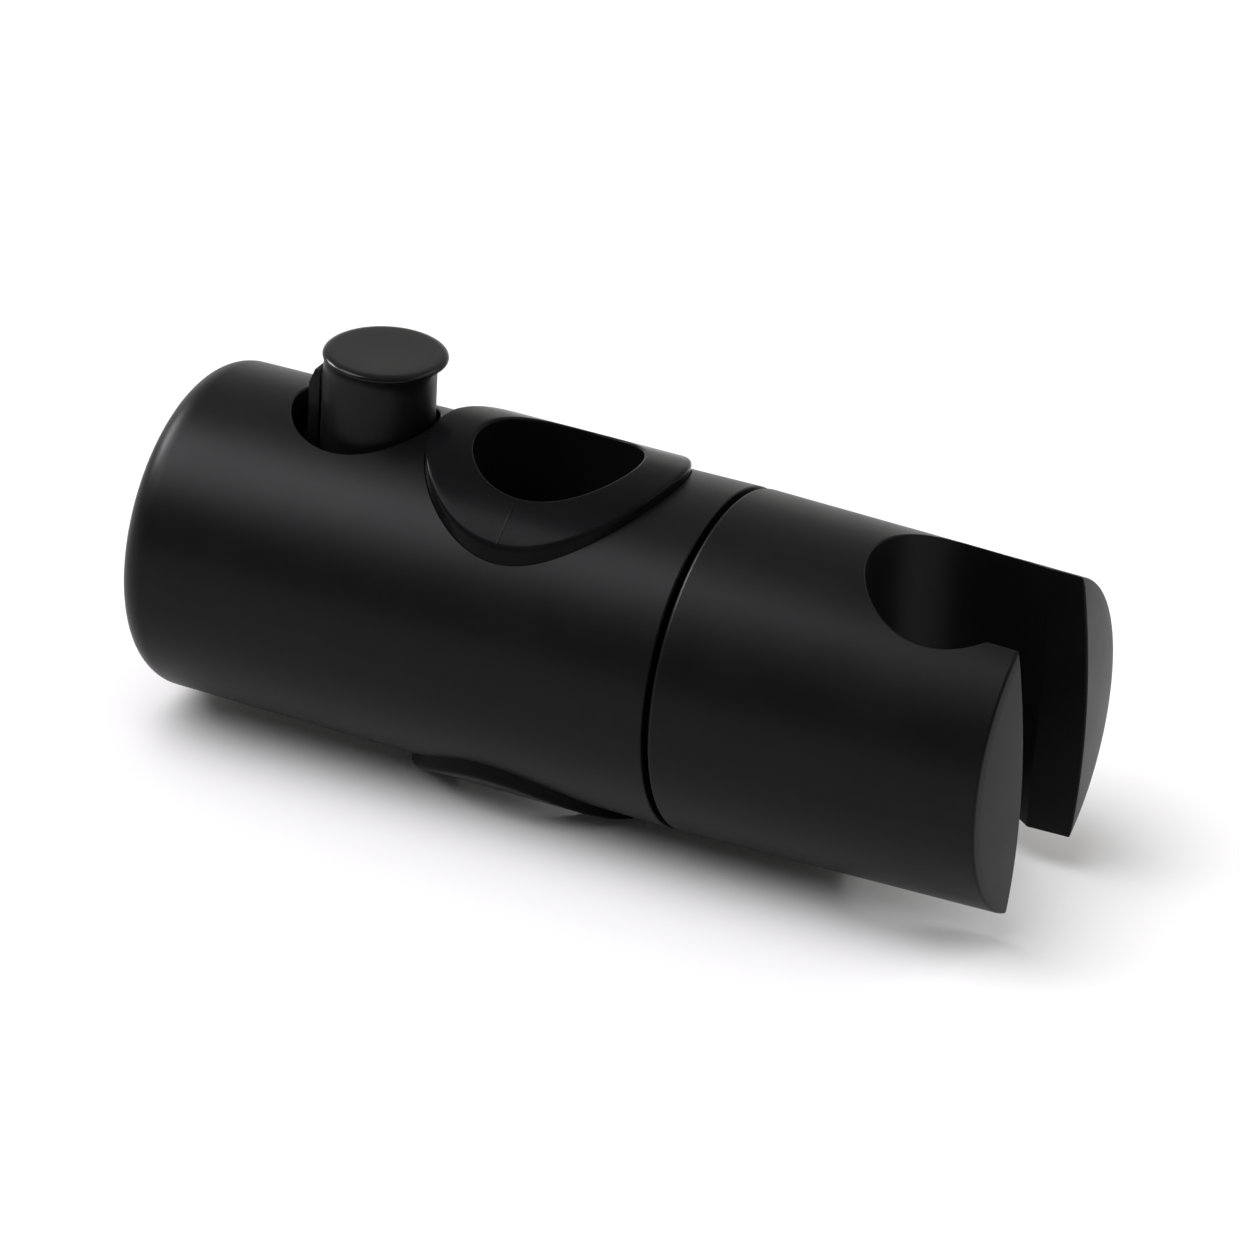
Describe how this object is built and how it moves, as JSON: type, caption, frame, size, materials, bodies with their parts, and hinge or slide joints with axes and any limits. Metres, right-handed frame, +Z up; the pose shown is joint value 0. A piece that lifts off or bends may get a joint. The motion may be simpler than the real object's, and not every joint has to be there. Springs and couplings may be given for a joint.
{
  "type": "shower rail slider",
  "caption": "Barrel-shaped hand-shower holder that clamps on a round riser rail, with a push button on top and a slotted cone fork that turns about the barrel's axis.",
  "frame": {"origin": "where the rail's axis crosses the barrel's axis", "axes": "+Z up along the rail, +X along the barrel to the handset fork, -Y to the side the fork leans to"},
  "size_m": [0.1091, 0.04, 0.0484],
  "materials": {
    "matte_black_abs": "fine matte moulding",
    "satin_black_abs": "satin moulding",
    "gloss_black_abs": "polished moulding",
    "grey_acetal": "plain moulding",
    "black_rubber": "matte",
    "stainless_steel": "bright"
  },
  "bodies": {
    "body": {"body_shell": "matte_black_abs", "upper_rail_collar": "satin_black_abs", "lower_rail_collar": "satin_black_abs", "pivot_plate": "grey_acetal", "plate_screw_front": "stainless_steel", "plate_screw_rear": "stainless_steel", "friction_washer": "grey_acetal", "pivot_screw": "stainless_steel", "pivot_washer": "stainless_steel", "pivot_spring": "stainless_steel", "clamp_spring": "stainless_steel"},
    "clamp": {"clamp_carriage": "grey_acetal", "clamp_pad": "black_rubber", "release_button": "gloss_black_abs"},
    "fork": {"handset_fork": "matte_black_abs", "pivot_o_ring": "black_rubber", "screw_cap": "matte_black_abs"}
  },
  "joints": [
    {"name": "clamp_slide", "type": "slide", "parent": "body", "child": "clamp", "axis": [1, 0, 0], "range_m": [-0.0016, 0], "stiffness_N_per_m": 1500, "springref_m": 0.004, "deforming": ["clamp_spring"]},
    {"name": "fork_tilt", "type": "hinge", "parent": "body", "child": "fork", "pos_m": [0.0216, 0, 0], "axis": [1, 0, 0], "continuous": true}
  ]
}
